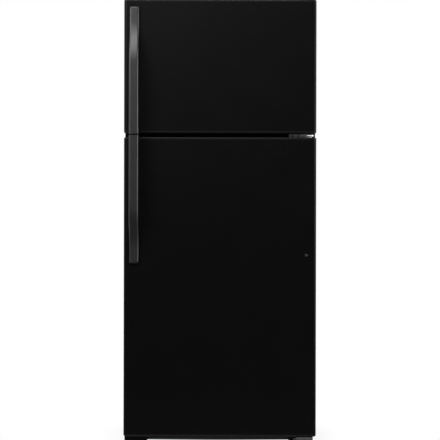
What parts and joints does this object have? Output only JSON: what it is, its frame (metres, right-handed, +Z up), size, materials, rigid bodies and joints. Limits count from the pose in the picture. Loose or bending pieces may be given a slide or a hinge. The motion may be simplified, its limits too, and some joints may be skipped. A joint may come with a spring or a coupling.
{
  "type": "top freezer refrigerator",
  "caption": "Free-standing top freezer refrigerator with two hinged doors, bar handles, shelves, crisper drawers, door bins and a compressor compartment.",
  "frame": {"origin": "on the floor, at the middle of the width and of the depth from the handles to the back panel", "axes": "+X to the right seen from the front, +Y to the back, +Z up"},
  "size_m": [0.711, 0.757, 1.684],
  "materials": {
    "black_steel": "black baked enamel with a fine texture",
    "black_plastic": "black moulded plastic",
    "handle_plastic": "dark charcoal satin",
    "white_plastic": "white vacuum formed plastic",
    "clear_plastic": "clear moulded plastic",
    "glass": "tempered glass",
    "foam": "rigid polyurethane foam",
    "seal_rubber": "soft magnetic door seal",
    "zinc_steel": "zinc plated steel",
    "galvanised_steel": "galvanised sheet",
    "coil_aluminium": "plain aluminium",
    "machine_black": "black machine enamel",
    "white_wire": "white coated wire",
    "grey_rubber": "grommet and tread rubber",
    "grey_plastic": "grey moulded plastic"
  },
  "bodies": {
    "cabinet": {"back_panel": "galvanised_steel", "base_frame": "machine_black", "base_grille": "black_plastic", "bottom_hinge": "zinc_steel", "cabinet_foam": "foam", "center_hinge": "zinc_steel", "center_rail": "black_steel", "compressor": "machine_black", "compressor_bulkhead": "galvanised_steel", "compressor_grommets": "grey_rubber", "condenser": "machine_black", "condenser_fan_motor": "galvanised_steel", "control_housing": "white_plastic", "drain_pan": "black_plastic", "evaporator": "coil_aluminium", "evaporator_cover": "white_plastic", "evaporator_fan_motor": "galvanised_steel", "freezer_liner": "white_plastic", "freezer_shelf": "white_wire", "fridge_liner": "white_plastic", "hinge_screws": "zinc_steel", "light_lens": "clear_plastic", "light_switch": "white_plastic", "rear_cover": "galvanised_steel", "roller_axles": "zinc_steel", "shelf_frames": "white_plastic", "shelf_glass": "glass", "side_panel_left": "black_steel", "side_panel_right": "black_steel", "top_hinge": "zinc_steel", "top_hinge_cover": "black_plastic", "top_panel": "black_steel"},
    "freezer_door": {"freezer_door_bins": "clear_plastic", "freezer_door_caps": "black_plastic", "freezer_door_foam": "foam", "freezer_door_gasket": "seal_rubber", "freezer_door_handle": "handle_plastic", "freezer_door_liner": "white_plastic", "freezer_door_skin": "black_steel"},
    "fridge_door": {"fridge_door_bins": "clear_plastic", "fridge_door_caps": "black_plastic", "fridge_door_foam": "foam", "fridge_door_gasket": "seal_rubber", "fridge_door_handle": "handle_plastic", "fridge_door_liner": "white_plastic", "fridge_door_skin": "black_steel", "dairy_bin": "white_plastic", "hole_plug": "handle_plastic"},
    "dairy_lid": {"dairy_lid": "clear_plastic"},
    "crisper_left": {"crisper_left": "clear_plastic"},
    "crisper_right": {"crisper_right": "clear_plastic"},
    "rear_roller_left": {"rear_roller_left": "black_plastic"},
    "rear_roller_right": {"rear_roller_right": "black_plastic"},
    "leveling_foot_left": {"leveling_foot_left": "zinc_steel"},
    "leveling_foot_right": {"leveling_foot_right": "zinc_steel"},
    "fridge_control_knob": {"fridge_control_knob": "grey_plastic"},
    "freezer_control_knob": {"freezer_control_knob": "grey_plastic"},
    "light_switch_button": {"light_switch_button": "white_plastic"},
    "evaporator_fan_blade": {"evaporator_fan_blade": "grey_plastic"},
    "condenser_fan_blade": {"condenser_fan_blade": "grey_plastic"}
  },
  "joints": [
    {"name": "freezer_door_hinge", "type": "hinge", "parent": "cabinet", "child": "freezer_door", "pos_m": [0.333, -0.3135, 1.415], "axis": [0, 0, 1], "range_deg": [0, 130]},
    {"name": "fridge_door_hinge", "type": "hinge", "parent": "cabinet", "child": "fridge_door", "pos_m": [0.333, -0.3135, 0.601], "axis": [0, 0, 1], "range_deg": [0, 130]},
    {"name": "dairy_lid_hinge", "type": "hinge", "parent": "fridge_door", "child": "dairy_lid", "pos_m": [0, -0.181, 1.0522], "axis": [1, 0, 0], "range_deg": [0, 85]},
    {"name": "crisper_left_slide", "type": "slide", "parent": "cabinet", "child": "crisper_left", "axis": [0, -1, 0], "range_m": [0, 0.085]},
    {"name": "crisper_right_slide", "type": "slide", "parent": "cabinet", "child": "crisper_right", "axis": [0, -1, 0], "range_m": [0, 0.085]},
    {"name": "rear_roller_left_spin", "type": "hinge", "parent": "cabinet", "child": "rear_roller_left", "pos_m": [-0.305, 0.3185, 0.022], "axis": [1, 0, 0], "continuous": true},
    {"name": "rear_roller_right_spin", "type": "hinge", "parent": "cabinet", "child": "rear_roller_right", "pos_m": [0.305, 0.3185, 0.022], "axis": [1, 0, 0], "continuous": true},
    {"name": "leveling_foot_left_turn", "type": "hinge", "parent": "cabinet", "child": "leveling_foot_left", "pos_m": [-0.318, -0.2215, 0.03], "axis": [0, 0, 1], "continuous": true},
    {"name": "leveling_foot_right_turn", "type": "hinge", "parent": "cabinet", "child": "leveling_foot_right", "pos_m": [0.318, -0.2215, 0.03], "axis": [0, 0, 1], "continuous": true},
    {"name": "fridge_control_turn", "type": "hinge", "parent": "cabinet", "child": "fridge_control_knob", "pos_m": [-0.075, -0.0503, 1.107], "axis": [0, -1, 0], "range_deg": [-135, 135]},
    {"name": "freezer_control_turn", "type": "hinge", "parent": "cabinet", "child": "freezer_control_knob", "pos_m": [0.075, -0.0503, 1.107], "axis": [0, -1, 0], "range_deg": [-135, 135]},
    {"name": "light_switch_press", "type": "slide", "parent": "cabinet", "child": "light_switch_button", "axis": [0, 1, 0], "range_m": [0, 0.003], "stiffness_N_per_m": 120, "springref_m": -0.006},
    {"name": "evaporator_fan_spin", "type": "hinge", "parent": "cabinet", "child": "evaporator_fan_blade", "pos_m": [0, 0.2785, 1.5], "axis": [0, -1, 0], "continuous": true},
    {"name": "condenser_fan_spin", "type": "hinge", "parent": "cabinet", "child": "condenser_fan_blade", "pos_m": [0, 0.2845, 0.145], "axis": [1, 0, 0], "continuous": true}
  ]
}
